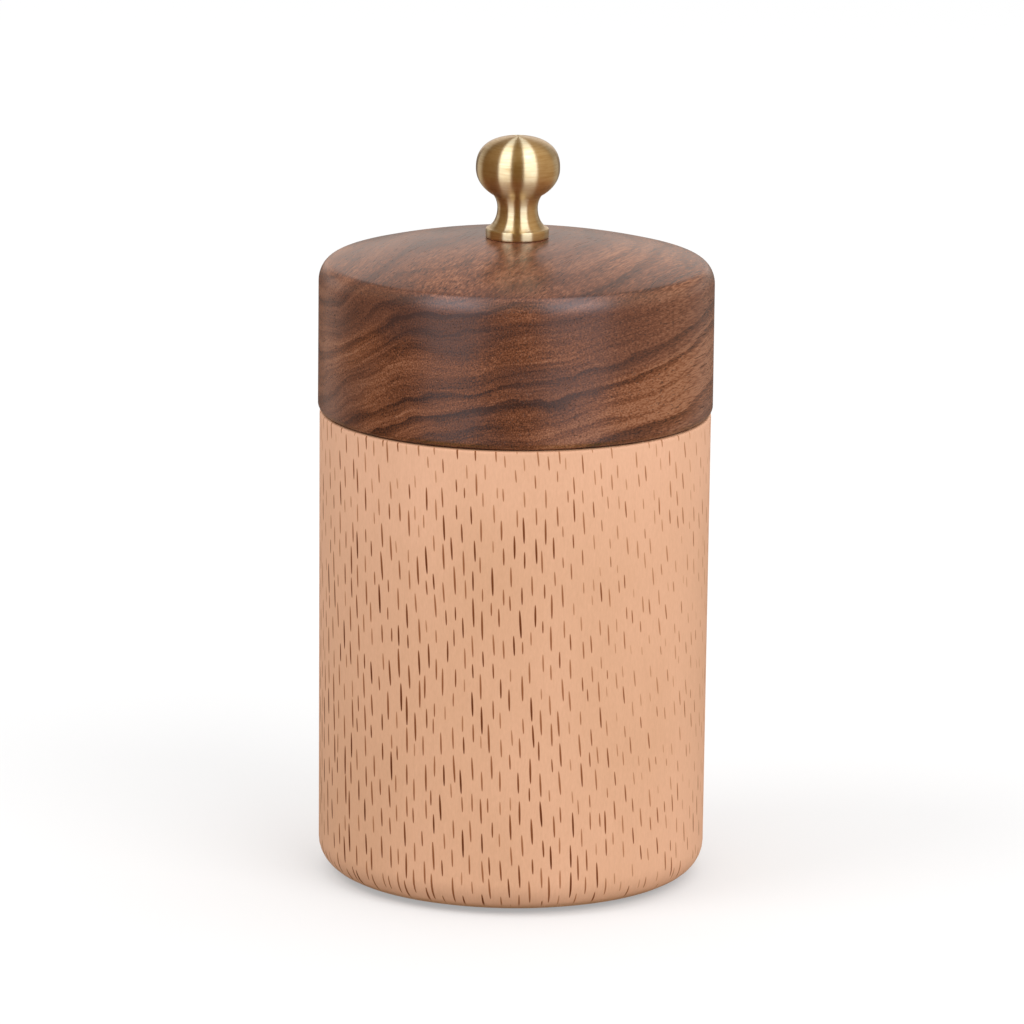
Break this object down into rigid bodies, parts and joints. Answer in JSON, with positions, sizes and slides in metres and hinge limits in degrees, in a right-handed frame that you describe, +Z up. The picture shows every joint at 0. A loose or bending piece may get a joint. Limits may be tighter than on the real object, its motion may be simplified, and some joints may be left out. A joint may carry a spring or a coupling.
{
  "type": "toothpick holder",
  "caption": "Round turned wooden jar with a domed lift-off lid and a small brass ball knob, for storing toothpicks.",
  "frame": {"origin": "middle of the foot, on the surface that the jar stands on", "axes": "+Z up along the jar's turning axis, +X and +Y any two square directions across it, the pictured side faces -Y"},
  "size_m": [0.056, 0.056, 0.1064],
  "materials": {
    "beech": "satin turned beech with dark ray flecks",
    "walnut": "satin oiled walnut with open pores",
    "brass": "finely turned brass",
    "steel": "zinc plated",
    "silicone": "milky silicone",
    "pad_rubber": "matt non-slip rubber"
  },
  "bodies": {
    "jar": {"beech_body": "beech", "base_pad": "pad_rubber"},
    "seal": {"seal_ring": "silicone"},
    "lid": {"walnut_lid": "walnut", "brass_knob": "brass", "knob_screw": "steel", "flat_washer": "steel", "spring_washer": "steel"}
  },
  "joints": [
    {"name": "lid_turn", "type": "hinge", "parent": "jar", "child": "seal", "pos_m": [0, 0, 0.069], "axis": [0, 0, 1], "continuous": true},
    {"name": "lid_lift", "type": "slide", "parent": "seal", "child": "lid", "axis": [0, 0, 1], "range_m": [0, 0.05]}
  ]
}
